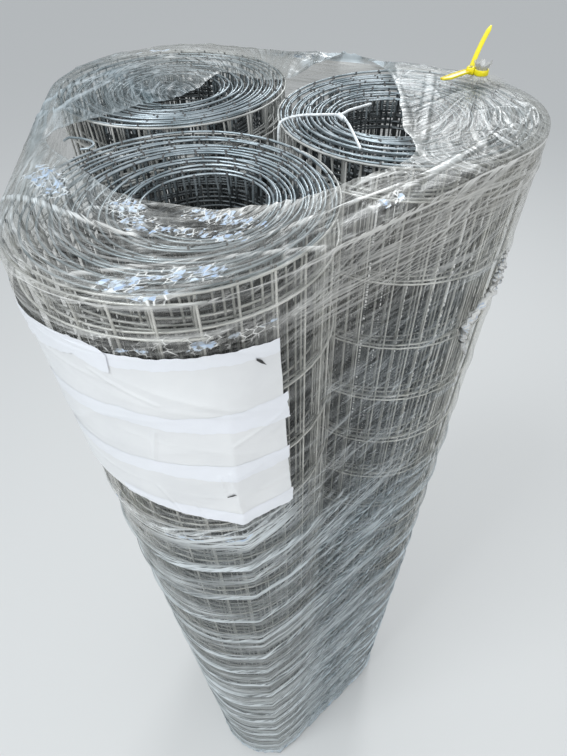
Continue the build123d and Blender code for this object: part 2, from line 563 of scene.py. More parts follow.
def ridges(run, across, seed, waves, along, sharp=1.0):
    """Long soft crests from 0 to 1. waves is the range of waves per metre across the pull."""
    random = np.random.default_rng(seed)
    total, weight = np.zeros(np.broadcast(run, across).shape), 0
    for _ in range(waves_in_ridges):
        turns_round = random.integers(along[0], along[1] + 1)
        pitch = random.uniform(*waves)
        size = random.uniform(0.5, 1)
        phase = full_turn * (turns_round * run / film_round + pitch * across + random.uniform())
        total = total + size * np.sin(phase + 1.3 * np.sin(full_turn * (run / film_round + across * 2)))
        weight += size
    return (1 - np.abs(total / weight * 2.2)).clip(0, 1) ** sharp


def creases(run, across, seed, count, along, waves, sharp):
    """Sharp creases that cross each other, from 0 to 1."""
    random = np.random.default_rng(seed)
    total = np.zeros(np.broadcast(run, across).shape)
    for _ in range(count):
        turns_round = random.integers(-along, along + 1)
        pitch = random.uniform(-waves, waves)
        bends, climb = random.integers(1, 5), random.uniform(2, 9)
        bend = 1.2 * np.sin(full_turn * (bends * run / film_round + climb * across))
        phase = np.pi * (turns_round * run / film_round + pitch * across + random.uniform()) + bend
        patches, shift = random.integers(2, 12), random.uniform()
        patch = 0.5 + 0.5 * np.sin(full_turn * (patches * run / film_round + shift))
        total = np.maximum(total, (1 - np.abs(np.sin(phase))) ** sharp * patch)
    return total


# %% Soft steps and spots
def smooth_step(value, low, high):
    """From 0 at low to 1 at high, with no corner."""
    t = np.clip((value - low) / (high - low), 0, 1)
    return t * t * (3 - 2 * t)


def near(value, middle, width):
    """1 at a middle, falling away to 0 over a width."""
    return np.exp(-(((value - middle) / width) ** 2))


def points_at(x, y, height):
    """Points from three coordinates, each of them a number, a row, a column or a grid."""
    return np.stack(np.broadcast_arrays(x, y, height), axis=-1)


# %% [markdown]
# ## The film's surface
# One function says where the film is, from how far round it is and how high. The label uses it too, so
# that it lies on the film. It also gives what the finish needs: how hazy the film is, how bright its folds
# are, partly painted highlights, where painted reflections of the sky go, how clearly the line wires press
# through it, and how cool and dark its haze is, which is painted shade.
# Between rolls it has nothing behind it, so there it has folds that climb towards the side roll.

# %% What the film lies on
label_from, label_to = 190, 308
label_left, label_right = run_at(front_roll, label_from), run_at(front_roll, label_to)
label_top = 1.460
label_height = 0.204
wire_lift = float(np.mean([spiral.rise(full_winding - 2.0) for spiral in rolls.values()]))
crest_heights = line_heights + wire_lift


def under_label(run, height):
    """1 where the paper label holds the film flat, and 0 away from it."""
    inside = smooth_step(run, label_left - 0.01, label_left)
    inside = inside - smooth_step(run, label_right, label_right + 0.008)
    upper = 1 - smooth_step(height, label_top, label_top + 0.006)
    return inside * upper * smooth_step(height, label_top - label_height - 0.008, label_top - label_height)


def on_rolls(run):
    """1 where a roll stands right behind the film, and 0 where it spans from roll to roll."""
    angle = angle_at(run)
    place = plain_reach(angle)[..., None] * towards(angle)
    gaps = [np.linalg.norm(place - roll.centre, axis=-1) - roll.radius for roll in rolls.values()]
    return 1 - smooth_step(np.min(gaps, axis=0), 0.0015, 0.008)


def milky_side(angle):
    """1 at the front right, where the film is milky, and 0 away from it."""
    return smooth_step(np.cos(angle - np.radians(325)), 0.6, 0.95)


print("film spans from roll to roll on", (on_rolls(fine_run) < 0.5).mean().round(2), "of its way round")

# %% Where the film's wall is
def film_wall(run, height):
    """Points of the film's wall, and its look, as five amounts from 0 to 1."""
    angle = angle_at(run)
    turn = full_turn * run / film_round
    creased = smooth_step(-height, -1.45, -1.30)
    reach = plain_reach(angle) + creased * (creased_reach(angle) - plain_reach(angle))
    span = 1 - on_rolls(run)
    to_front = np.cos(turn - full_turn * 0.70)
    front, sunny = smooth_step(to_front, 0.2, 0.9), smooth_step(to_front, 0.75, 0.97)
    wander = 0.035 * np.sin(3 * turn) + 0.02 * np.sin(7 * turn) + 0.012 * np.sin(13 * turn + 1)
    veil = 1 - smooth_step(height, 1.07 + 0.08 * front + wander, 1.20 + 0.10 * front + wander)
    thick = 1 - smooth_step(height, 0.50 + wander, 1.06 + 0.12 * front + 2 * wander)
    foot = 1 - smooth_step(height, 0.015, 0.10)
    off_wire = np.min([np.abs(height - line) for line in crest_heights[1:-1]], axis=0)
    crest = np.exp(-off_wire / 0.0034)
    band = ridges(run, height, 11, (7, 15), (-2, 2))
    pleats = ridges(run, height, 12, (35, 75), (-3, 3), 1.6)
    fine = ridges(run, height, 13, (90, 170), (-4, 4), 1.5)
    climbing = ridges(run, height, 14, (18, 34), (-16, -7), 1.7)
    gathered = creases(run, height, 15, 6, 40, 30, 2)
    on_span = span * (0.35 + 0.65 * (1 - smooth_step(height, 1.30, 1.44)))

    out = crest * (0.0009 + 0.0012 * veil + 0.0012 * thick) * (1 - 0.7 * span)
    out = out + pleats * (0.0003 + 0.0009 * veil) + fine * 0.0004 + climbing * on_span * 0.0030
    out = out + foot * (0.003 * band + 0.0035 * gathered)
    sag = span * 0.003 + 0.0008 * (1 - span) * (1 - crest)
    reach = reach + (1 - under_label(run, height)) * (out - sag) + 0.0004
    x, y = reach * np.cos(angle), reach * np.sin(angle)

    to_side = smooth_step(x, -0.06, 0.11)
    swept = to_side * smooth_step(height, 1.37, 1.47)
    milky = milky_side(angle)
    haze = 0.04 + 0.20 * veil + 0.30 * thick
    haze = haze + band * (0.02 + 0.07 * veil) + pleats * (0.02 + 0.10 * veil)
    haze = haze * (1 - 0.40 * to_side) + (0.10 + 0.25 * milky * smooth_step(height, 1.43, 1.49)) * swept
    haze = haze + climbing * on_span * (0.05 + 0.10 * veil) + span * (0.05 + 0.04 * veil)
    # Bright folds are partly the film's own white creases and partly painted highlights: the top rim, the
    # band below the label and the gathered foot are painted highlights.
    bright = pleats**2 * (0.04 + 0.42 * veil) + climbing**3 * on_span * (0.22 + 0.30 * veil) + 0.22 * swept
    bright = bright + foot * (0.05 + 0.50 * gathered)
    bright = bright + 0.5 * smooth_step(height, roll_height - 0.008, roll_height)
    bright = bright + (1 - to_side) * smooth_step(height, 1.42, 1.46) * 0.12 * pleats
    bright = bright * (1 - 0.35 * to_side * veil) + 0.5 * sunny * near(height, 1.232, 0.018)
    # glint: where painted reflections of the sky go, facing the front above and below the label and at the
    # foot.
    glint = sunny * (near(height, 1.468, 0.008) + near(height, 1.238, 0.013)) * (0.25 + 0.55 * pleats)
    glint = glint + foot * (0.20 + 0.45 * gathered + 0.2 * pleats)
    # crest: white lines where the film is stretched over a line wire, partly its real whitening and partly a
    # painted highlight.
    crest = (0.28 + 0.46 * veil + 0.90 * thick) * (1 - 0.75 * span) * (0.40 + 0.60 * band)
    # tone sends the haze towards the cooler, darker colour and the folds towards a bluer white: painted
    # shade on the side roll and higher up, and a painted sky tint.
    cool_shade = to_side * (1 - smooth_step(height, 1.36, 1.46))
    tone = 0.15 + 0.50 * veil + (0.60 - 0.2 * veil) * cool_shade + 0.2 * foot
    return points_at(x, y, height), (haze, bright, glint, crest, tone)


# %% [markdown]
# ## The lip over the rolls' ends
# The top of the film is pulled over the rim and gathered towards the middle, so its inner edge is an uneven
# loop. The loop is given as a few distances from the middle of the pack, read off at angles, and the film
# between it and the rim is puffed and creased. On the right all of it is drawn together into a neck, so
# there the folds fan out from one point. All tables here are in millimetres.

# %% The opening in the top
opening = {
    0: 97, 16: 101, 30: 122, 41: 140, 50: 162, 58: 177, 66: 184, 72: 176, 77: 148, 82: 112, 93: 106,
    105: 112, 111: 148, 119: 134, 131: 117, 151: 116, 162: 137, 172: 152, 179: 184, 185: 191, 192: 188,
    197: 176, 211: 161, 225: 159, 241: 153, 252: 151, 263: 139, 274: 130, 286: 122, 298: 119, 312: 117,
    325: 115, 344: 98,
}
neck_facing = math.radians(36)
neck_inset = 0.020
neck_place = side_roll.centre + (side_roll.radius - neck_inset) * towards(neck_facing)


def opening_reach(angle):
    """The distance from the middle of the pack to the film's inner edge."""
    at, reach = np.radians(list(opening)), np.divide(list(opening.values()), 1000)
    nearby = [np.interp(angle + turn, at, reach, period=full_turn) for turn in (-0.06, 0, 0.06)]
    return sum(nearby) / len(nearby) + 0.0018 * np.sin(angle * 7)


print("opening", min(opening.values()), "to", max(opening.values()), "mm from the middle")

# %% Bands and facets on the lip
def metres(lines):
    """Lines (start, end, half width, and more) with their sizes in metres instead of millimetres."""
    return [(np.divide(start, 1000), np.divide(end, 1000), half / 1000, *more)
            for start, end, half, *more in lines]


# Bands where the lip lies double: both ends seen from above, half the width, haze and brightness
doubled = metres([
    ((-212, 52), (-182, -71), 7, 0.50, 0.06), ((-182, -71), (-173, -117), 8, 0.45, 0.08),
    ((-237, 17), (-191, 17), 3.5, 0.30, 0.20), ((-214, 34), (-188, 74), 3.5, 0.25, 0.25),
    ((-188, 74), (-110, 155), 4, 0.25, 0.20), ((-189, 17), (-157, 78), 3, 0.20, 0.20),
    ((-172, 170), (-55, 142), 5, 0.20, 0.15), ((-191, -114), (-162, -128), 2.2, 0.1, 0.45),
    ((-162, -128), (-93, -168), 2.5, 0.10, 0.40), ((-125, -135), (-86, -131), 2, 0.1, 0.4),
    ((108, 121), (96, -40), 6.5, 0.32, 0.03), ((142, 100), (104, -42), 5, 0.22, 0.05),
    ((23, 134), (75, 174), 4, 0.20, 0.25), ((75, 174), (104, 98), 3.5, 0.2, 0.25),
    ((34, -161), (125, -74), 4, 0.20, 0.25), ((125, -74), (184, -19), 3.5, 0.2, 0.2),
    ((-10, -170), (110, -90), 2.2, 0.10, 0.35), ((-120, -205), (20, -185), 2, 0.1, 0.3),
])
# Facets on the lip that get a painted reflection of the sky: both ends and half the width
mirrored = metres([
    ((-107, -130), (-88, -158), 6), ((-60, -145), (-20, -157), 4.2), ((-52, -169), (-30, -172), 4),
    ((-84, -213), (-40, -206), 4.2), ((-100, -214), (-70, -226), 3.6), ((-168, -84), (-154, -114), 6),
    ((-176, -96), (-160, -110), 4), ((-86, -158), (-60, -166), 3), ((112, 172), (134, 160), 4.5),
    ((4, 196), (34, 186), 5), ((-146, 172), (-120, 182), 3.5), ((60, -140), (74, -128), 2.6),
])
# Where the lip is crushed: places and how wide
crushed = [((-160, -98), 16), ((196, 6), 22), ((176, -46), 16), ((60, 178), 20)]


def off_line(x, y, start, end):
    """How far points lie from the straight line between two places."""
    run_x, run_y = end[0] - start[0], end[1] - start[1]
    share = np.clip(((x - start[0]) * run_x + (y - start[1]) * run_y) / (run_x**2 + run_y**2), 0, 1)
    return np.hypot(x - start[0] - share * run_x, y - start[1] - share * run_y)


print(len(doubled), "double bands and", len(mirrored), "facets")

# %% Where the lip is
def film_lip(run, inward):
    """Points of the lip from 0 at the rim to 1 at its inner edge, its look and its flow."""
    angle = angle_at(run)
    rim = plain_reach(angle)
    width = rim - opening_reach(angle)
    depth = width * inward
    x, y = (rim - depth) * np.cos(angle), (rim - depth) * np.sin(angle)
    neck_x, neck_y = x - neck_place[0], y - neck_place[1]
    from_neck = np.hypot(neck_x, neck_y)
    fan = np.arctan2(neck_y, neck_x)
    side_fan = np.arctan2(np.abs(neck_y), -neck_x)
    drawn = 1 - smooth_step(from_neck, 0.06, 0.32)
    front = smooth_step(np.cos(angle - np.radians(295)), 0.45, 0.9)
    rear = smooth_step(np.sin(angle - 0.35), 0.1, 0.7)
    left = smooth_step(-np.cos(angle), 0.55, 0.85)
    milky = milky_side(angle)
    wide = smooth_step(width, 0.012, 0.05)

    gathers = ridges(run, depth, 21, (24, 60), (-4, 4), 1.6)
    thin = ridges(run, depth, 22, (70, 150), (-9, 9), 3.0)
    leaning = ridges(run, depth, 27, (-14, 14), (9, 30), 2.4) * (1 - front)
    patches = ridges(run, depth, 24, (2, 9), (-9, 9))
    sharp = creases(run, depth, 23, 6, 12, 14, 16)
    crush = [near(np.hypot(x - at[0] / 1000, y - at[1] / 1000), 0, size / 1000) for at, size in crushed]
    crumple = creases(run, depth, 25, 7, 34, 40, 5) * np.max(crush, axis=0)
    rays = np.abs(np.sin(fan * 13 + 2 * np.sin(fan * 3))) ** 0.7 + np.abs(np.sin(fan * 31 + 1)) ** 0.6
    between_rays = 1 - rays / 2
    hem = near((1 - inward) * width, 0, 0.0022 + 0.0075 * front)
    bands = [(near(off_line(x, y, start, end) ** 2, 0, half**2), *look)
             for start, end, half, *look in doubled]

    puff = (0.001 + (0.002 + 0.006 * wide) * rear + 0.003 * left) * np.sin(np.pi * inward).clip(0) ** 0.7
    rise = puff + (1 - drawn) * (gathers * 0.0010 + leaning * (0.0003 + 0.0008 * rear)) + sharp * 0.0008
    rise = rise + crumple * 0.005 + hem * front * (0.002 + 0.001 * thin)
    rise = rise + drawn * 0.0009 * between_rays + 0.0010 * sum(band for band, _, _ in bands)
    rise = np.minimum(rise, 0.012 - 0.0075 * near(from_neck, 0, 0.025))
    height = roll_height + 0.0008 + rise * smooth_step(inward, 0, 0.10)
    height = height + 0.001 * smooth_step(inward, 0.9, 1)

    haze = 0.02 + 0.06 * patches + 0.04 * gathers * wide + 0.12 * rear + 0.19 * left + 0.17 * drawn
    haze = haze + 0.10 * milky + 0.14 * drawn * between_rays + 0.16 * hem + 0.15 * crumple
    haze = haze + 0.75 * sum(band * amount for band, amount, _ in bands)
    # Bright folds on the lip are partly the film's white creases and partly painted highlights.
    bright = wide * (0.07 * gathers**2 + 0.05 * leaning**2) + 0.35 * rear * (1 - wide)
    bright = bright + 0.20 * sharp + thin * (0.06 + 0.20 * front * hem)
    bright = bright + 0.08 * drawn * between_rays + hem * (0.12 + 0.15 * front) + 0.32 * crumple
    bright = (bright + sum(band * amount for band, _, amount in bands)) * (1 - 0.25 * milky)
    # glint: near the listed facets, where painted reflections of the sky go.
    glint = np.max([near(off_line(x, y, *ends), 0, 1.7 * half) for *ends, half in mirrored], axis=0)
    # tone: painted shade at the rear, at the left and where the film is drawn together, and a painted sky
    # tint on its folds.
    tone = 0.30 * rear + 0.48 * drawn * (1 - 0.5 * milky) + 0.15 * patches + 0.55 * left
    flow = roll_height + depth + drawn * wide * (0.2 * (side_fan - 0.85) - depth)
    return points_at(x, y, height), (haze, bright, glint, 0.0, tone), flow


# %% [markdown]
# ## Clear stretch film
# Film is seen by what it does to light. Most of it is a thin grey haze over what lies behind, cooler and
# darker in places as painted shade. Its folds are hair-fine white lines along the pull, partly the film's
# own white creases and partly painted highlights. Where line wires press through, such lines bundle. Where
# a flat facet would mirror the sky there is a painted reflection, a small sharp blue-white patch. Those are
# the cells of a stretched Voronoi texture, of which some light up. Numbers stored on the mesh say how much
# of each.

# %% Film finish
film_kinds = ("haze", "bright", "glint", "crest", "tone")


def film_finish(name, least_cover, line_strength, warm, cool_shade):
    """See-through film with a haze, pale streaks along its pull that are partly painted highlights, and a
    few facets with a painted reflection of the sky.
    """
    film = new_finish(name)
    run = film.stored("film_run", "Vector")
    haze, bright, glint, crest, tone = (film.stored("film_" + kind) for kind in film_kinds)
    x, y, up = film.split(run)

    def stretched(slant, stretch):
        """The place on the flat film, squeezed across the pull, so that what reads it comes out long."""
        return film.node("CombineXYZ", {0: x, 1: y, 2: (up + (y + x) * slant) * stretch})

    def streaks(slant, stretch, scale, width, detail=2):
        """Thin lines along the pull, 1 on the line and 0 away from it, and the noise they come from."""
        noise = film.noise(stretched(slant, stretch), scale, detail, 0.55)
        return (noise - 0.5).size().ranged(0, width, 1, 0), noise

    def cells(feature, output):
        """A value of the polygons that the film's facets are cut from."""
        inputs = {"Vector": stretched(-0.2, 1.8), "Scale": 150}
        return film.node("TexVoronoi", inputs, output, feature=feature)

    broad, broad_noise = streaks(-0.03, 22, 5, 0.016)
    fine, fine_noise = streaks(0.03, 40, 12, 0.022)
    steep, steep_noise = streaks(-0.36, 50, 6, 0.018)
    steeper, _ = streaks(-0.80, 46, 5, 0.013, 1)
    drifts = film.noise(run, 9)
    lines = (broad * 0.9).most(fine * 0.45).most(steep).most(steeper * 0.5)
    lines = lines * film.noise(run, 70, 2).ranged(0.35, 0.65, 0.4, 1.4)
    lines = lines * drifts.ranged(0.36, 0.64, 0.10, 1.0) * line_strength

    hairs = fine_noise.most(steep_noise).ranged(0.49, 0.61, 0.10, 1.4)
    level = (up + (drifts - 0.5) * 0.010 - (float(crest_heights[1]) - line_step / 2)) / line_step
    # Bundled white lines along the line wires, partly painted highlights.
    off_crest = (level.fraction() - 0.5).size()
    bundle = (off_crest.ranged(0, 0.12, 0.9, 0) * hairs).most(off_crest.ranged(0.004, 0.024, 0.85, 0))
    folds = bright * hairs + bundle * broad_noise.ranged(0.40, 0.58, 0.35, 1) * crest

    # Painted reflections of the sky: some cells light up blue-white, and their edges get painted white
    # highlights.
    pick, sky_share, _ = film.split(cells("F1", "Color"), "Color")
    facets = (pick + glint * 0.75).ranged(1.18, 1.24, 0, 0.85)
    facets = facets * film.noise(run, 260, 2).ranged(0.38, 0.58, 0.15, 1)
    edges = cells("DISTANCE_TO_EDGE", "Distance").ranged(0.02, 0.10, 0.8, 0) * glint.ranged(0.12, 0.5)
    folds = folds + edges * film.noise(run, 110, 2).ranged(0.48, 0.55)

    amount = haze * broad_noise.ranged(0.32, 0.68, 0.45, 1.4) * fine_noise.ranged(0.32, 0.68, 0.65, 1.3)
    white = (lines + folds).most(facets).clamped()
    normal = film.bump(broad_noise + fine_noise * 0.4, 0.4, 0.0009)
    edge_on = film.node("LayerWeight", {"Blend": 0.25, "Normal": normal}, "Fresnel")
    cover = (amount + white + least_cover + edge_on * 0.10).clamped()

    # The blue-white of the lit cells is a painted reflection of the sky.
    sky = film.blended(sky_share, (0.27, 0.42, 0.66), (0.68, 0.80, 0.93))
    pale = film.blended(facets, film.blended(tone, (0.80, 0.785, 0.75), (0.68, 0.755, 0.80)), sky)
    # The haze goes from the warm colour to the dark cool one by tone, which is painted shade.
    colour = film.blended(white / (amount + white).most(0.02), film.blended(tone, warm, cool_shade), pale)
    film.made({"Base Color": colour, "Roughness": 0.28, "Specular IOR Level": 0.42, "Normal": normal})
    clear = film.node("BsdfTransparent", {"Color": (0.96, 0.955, 0.94)})
    mix = film.node("MixShader", {0: cover, 1: clear, 2: Amount(film, film.surface.outputs[0])})
    film.join(mix, film.tree.nodes["Material Output"].inputs["Surface"])
    return film.owner


# The second haze colour is the cool, dark one of painted shade.
clear_film = film_finish("clear_stretch_film", 0.005, 0.36, (0.29, 0.27, 0.235), (0.075, 0.112, 0.125))
bunched_film = film_finish("bunched_stretch_film", 0.01, 0.5, (0.42, 0.40, 0.37), (0.28, 0.31, 0.33))
print("film finishes with", len(clear_film.node_tree.nodes), "nodes")

# %% Sheets of film
def store_flow(piece, run, profile, look):
    """Store on a film mesh how far round and how high each point was on the flat film, and its look."""
    around = film_round / full_turn
    ring = around * towards(full_turn * run / film_round)
    x, y, profile, *look = np.broadcast_arrays(ring[..., 0], ring[..., 1], profile, *look)
    stored = piece.data.attributes
    places = points_at(x, y, profile).reshape(-1)
    stored.new("film_run", "FLOAT_VECTOR", "POINT").data.foreach_set("vector", places)
    for kind, values in zip(film_kinds, look):
        values = np.clip(values, 0, 1).reshape(-1)
        stored.new("film_" + kind, "FLOAT", "POINT").data.foreach_set("value", values)


def sheet_part(place, closed):
    """Vertices and faces of a sheet through rows of points. A closed one joins up with its start."""
    corner = np.arange(place[..., 0].size).reshape(place.shape[:2])
    beside = np.roll(corner, -1, axis=1)
    quads = np.stack([corner[:-1], beside[:-1], beside[1:], corner[1:]], axis=-1)
    quads = quads if closed else quads[:, :-1]
    return place.reshape(-1, 3), quads.reshape(-1, 4).tolist()


def film_sheet(name, place, look, run, profile, material=clear_film):
    """A closed band of film from rows of points, with its flow and its look stored on it."""
    piece = new_piece(name, "stretch_film", [sheet_part(place, True)], [material])
    store_flow(piece, run, profile, look)
    return piece


# %% Wind the film round the rolls
wall_columns = 320
rim_below = 0.0015


def wall_rows():
    """Heights for the wall's rows, close together at each line wire, where the film bends sharply."""
    steps = [0, 0.018, 0.045, 0.09, 0.16, 0.25, 0.35, 0.45, 0.55, 0.65, 0.75, 0.84, 0.91, 0.955, 0.982]
    rows = [0.003, 0.006, 0.010, 0.015, 0.020]
    for low, high in zip(crest_heights[1:-2], crest_heights[2:-1]):
        rows += list(low + np.array(steps) * (high - low))
    rows += list(np.linspace(crest_heights[-2], roll_height - rim_below, 10))
    return np.array(rows)[:, None]


wall_height = wall_rows()
wall_run = np.linspace(0, film_round, wall_columns, endpoint=False)[None, :]
film = film_sheet("stretch_film_wrap", *film_wall(wall_run, wall_height), wall_run, wall_height)

# %% Draw the lip over the ends
lip_run = np.linspace(0, film_round, 2 * wall_columns, endpoint=False)[None, :]
lip_inward = np.linspace(0.0, 1, 104)[:, None] ** 1.1
lip_place, lip_look, lip_flow = film_lip(lip_run, lip_inward)
lip_place[0] = film_wall(lip_run, np.full((1, 1), roll_height - rim_below))[0][0]
lip = film_sheet("stretch_film_lip", lip_place, lip_look, lip_run, lip_flow)

# %% [markdown]
# ## Where the film is gathered
# At the neck the film is bunched into a stalk that goes up through the cable tie and flares out above it.
# Lower down, a loose tail of film has twisted into a string that lies on the side roll.

# %% The neck and the twisted tail
tie_middle = roll_height + 0.0104


def gathered_neck():
    """The stalk of film that the cable tie holds, pinched at the tie and ragged at its end."""
    rise = np.linspace(0, 1, 30)[:, None]
    turn = np.linspace(0, full_turn, 120, endpoint=False)[None, :]
    ragged = 0.0012 * np.sin(5 * turn + 1) + 0.0008 * np.sin(13 * turn)
    over = 0.0030 + 0.0145 * rise + ragged * rise**4
    above = [0.003, 0.0055, 0.008, 0.0128, 0.0150, 0.018]
    radius = np.interp(over, above, [0.021, 0.0085, 0.0049, 0.0047, 0.0058, 0.0075])
    height = roll_height + over
    loose = 0.06 + 0.22 * smooth_step(np.abs(height - tie_middle), 0.003, 0.008)
    pleat = np.abs(np.sin(5.5 * turn + 1.5 * np.sin(2 * turn))) + 0.5 * np.abs(np.sin(11 * turn + 4 * rise))
    radius = radius * (1 + loose * (pleat - 0.8))
    place = points_at(neck_place[0] + radius * np.cos(turn), neck_place[1] + radius * np.sin(turn), height)
    solid = smooth_step(rise, 0.02, 0.30)
    look = ((0.30 + 0.18 * pleat) * solid, 0.40 * pleat * solid, 0.0, 0.0, 0.2)
    film_sheet("stretch_film_neck", place, look, 0.2 + 0.3 * rise, roll_height + 0.16 * turn, bunched_film)


def twisted_tail(count=70, sides=8):
    """A string of twisted film on the side roll."""
    facing_degrees = [314, 315, 313.6, 306, 298.7, 298.9, 308.3]
    heights = [1.414, 1.388, 1.3685, 1.357, 1.344, 1.3205, 1.294]
    corners = []
    for degrees, height in zip(facing_degrees, heights):
        place, _ = film_wall(run_at(side_roll, degrees), np.array(height))
        corners.append([*(place[:2] + 0.0045 * unit(place[:2] - side_roll.centre)), height])
    points = smooth_path(corners, count)
    step = np.arange(count)
    thickness = 0.0024 * np.interp(step, [0, 5, 14, 44, 58, 69], [0.4, 1, 1.6, 1.7, 1, 0.3])
    radius = thickness * (1 + 0.30 * np.sin(step * 0.9) + 0.22 * np.sin(step * 2.3))
    points[:, 0] += 0.0006 * np.sin(step * 1.7)
    tail = new_piece("stretch_film_tail", "stretch_film", [wire_tube(points, radius, sides)], [bunched_film])
    run = np.repeat(step * 0.0025, sides)
    twist = np.tile(np.arange(sides), count) * 0.01 + run * 0.5
    # The tail's look, with a little painted reflection of the sky.
    store_flow(tail, run, twist, (0.8, 0.9, 0.5, 0.0, 0.2))


gathered_neck()
twisted_tail()

# %% [markdown]
# ## The cable tie
# A closed band round the neck, a head with two slots in it, a flat tag for writing on and a long ribbed
# tail. The slots are thin near-black strips on the head, painted shade where the holes would be dark. All
# of them are straps, so one function makes a strap with chamfered edges and, where it is asked to, the
# little ratchet teeth across it.

# %% Yellow plastic
def yellow_finish(name, colour, shade):
    """Moulded plastic with a faint cloudiness and a soft sheen."""
    plastic = new_finish(name)
    place = plastic.place()
    clouds = plastic.noise(place, 160)
    return plastic.made({
        "Base Color": plastic.blended(clouds.ranged(0.35, 0.65), colour, shade),
        "Roughness": plastic.noise(place, 500, 2).ranged(0.3, 0.7, 0.28, 0.42),
        "Normal": plastic.bump(clouds, 0.2, 0.0005),
    })


yellow_plastic = yellow_finish("yellow_plastic", (0.86, 0.74, 0.012), (0.80, 0.66, 0.010))
amber_plastic = yellow_finish("amber_plastic", (0.80, 0.56, 0.02), (0.70, 0.42, 0.02))
# The slots' finish is painted shade, near black.
slot_painted_shade = yellow_finish("slot_painted_shade", (0.05, 0.04, 0.01), (0.03, 0.025, 0.01))
print("finishes of the cable tie", [each.name for each in (yellow_plastic, amber_plastic, slot_painted_shade)])

# %% Straps of the cable tie
def tie_piece(name, points, flat, half_width, half_thick, tooth=0.0, material=yellow_plastic):
    """A strap of the cable tie. flat is where its width points, and tooth raises every other row."""
    points = np.asarray(points, float)
    along = unit(np.gradient(points, axis=0))
    flat = np.broadcast_to(np.asarray(flat, float), points.shape)
    flat = unit(flat - np.sum(flat * along, axis=1, keepdims=True) * along)
    up = np.cross(flat, along)
    half_width = np.broadcast_to(half_width, len(points))
    teeth = tooth * (np.arange(len(points)) % 2)
    corners = [(-1, -0.5), (-0.85, -1), (0.85, -1), (1, -0.5), (1, 0.5), (0.85, 1), (-0.85, 1), (-1, 0.5)]
    rings = []
    for side, level in corners:
        over = half_thick * level + teeth * (level == 1)
        rings.append(points + flat * (half_width * side)[:, None] + up * over[:, None])
    new_piece("cable_tie_" + name, "cable_tie", [skin(np.stack(rings, axis=1))], [material])


def facing(degrees):
    """A level direction in space."""
    return np.array([*towards(math.radians(degrees)), 0.0])


# %% Band and head
both_sides = {"a": -1, "b": 1}
up_right = np.array([0, 0, 1.0])
neck_middle = np.array([*neck_place, tie_middle])
head_out, tail_level = facing(150), facing(60)
band_path = [neck_middle + 0.00595 * facing(angle) for angle in np.linspace(170, 490, 49)]
tie_piece("band", band_path, up_right, 0.0023, 0.0006)

head_path = neck_middle + np.outer(np.linspace(0.0062, 0.0134, 7), head_out)
head_width = 0.0039 * np.array([0.80, 0.95, 1, 1, 1, 0.95, 0.80])
tie_piece("head", head_path, tail_level, head_width, 0.0029)
# Two dark strips on the head's top stand for its slots: painted shade.
slot_path = neck_middle + np.outer([0.0088, 0.0112], head_out) + 0.00295 * up_right
for letter, side in both_sides.items():
    slot_side = side * 0.0017 * tail_level
    tie_piece("slot_" + letter, slot_path + slot_side, tail_level, 0.0009, 0.00012, material=slot_painted_shade)

# %% Ribbed tail
strap_thick = 0.0005
tail_length = 0.0575
tail_slope = math.radians(25)
tail_run = math.cos(tail_slope) * tail_level + math.sin(tail_slope) * up_right
tail_steps = np.linspace(0, tail_length, 97)
tail_wave = 0.0012 * np.sin(tail_steps * 54)
head_middle = neck_middle + 0.0101 * head_out
tail_path = head_middle + np.outer(tail_steps, tail_run) + np.outer(tail_wave, head_out)
tail_width = 0.0022 * np.interp(tail_steps, [0, 0.052, tail_length], [1, 1, 0.45])
tie_piece("tail", tail_path, head_out, tail_width, strap_thick, 0.00025)

# %% Flat tag
tag_length = 0.0355
tag_run = facing(214)
tag_side = np.cross(up_right, tag_run)
tag_steps = np.linspace(0.001, tag_length, 24)
tag_sag = 0.0012 * (tag_steps / tag_length) ** 2
tag_path = head_middle + np.outer(tag_steps, tag_run) - np.outer(tag_sag, up_right)
tag_path += np.outer(np.interp(tag_steps, [0, 0.029, tag_length], [0, 0, -0.0022]), tag_side)
tag_width = 0.0034 * np.interp(tag_steps, [0, 0.004, 0.029, tag_length], [0.6, 1, 1, 0.3])
tie_piece("tag", tag_path, tag_side, tag_width, strap_thick, material=amber_plastic)
for letter, side in both_sides.items():
    tie_piece("tag_rim_" + letter, tag_path + np.outer(side * tag_width, tag_side), tag_side, 0.0004, 0.0008)

# %% [markdown]
# ## The tie wire and a loose end
# A pale wire hooks over the side roll's turns. It comes out of the gap between the rolls, runs across, is
# twisted with its other strand into a short knot at the edge of the core, and both its ends stick out.

# %% Pale wire finish
def pale_wire_finish():
    """Painted wire, off-white, with scuffs where the grey shows."""
    paint = new_finish("pale_wire")
    place = paint.place()
    scuffs = paint.noise(place, 260, 4).ranged(0.55, 0.68)
    return paint.made({
        "Base Color": paint.blended(scuffs, (0.78, 0.81, 0.82), (0.46, 0.50, 0.52)),
        "Roughness": 0.35, "Metallic": 0.15, "Normal": paint.bump(paint.noise(place, 600, 2), 0.3, 0.0004),
    })


# %% Tie wire
tie_radius = 0.0011
tie_out, tie_side = facing(197), facing(107)
side_middle = np.array([*side_roll.centre, roll_height])
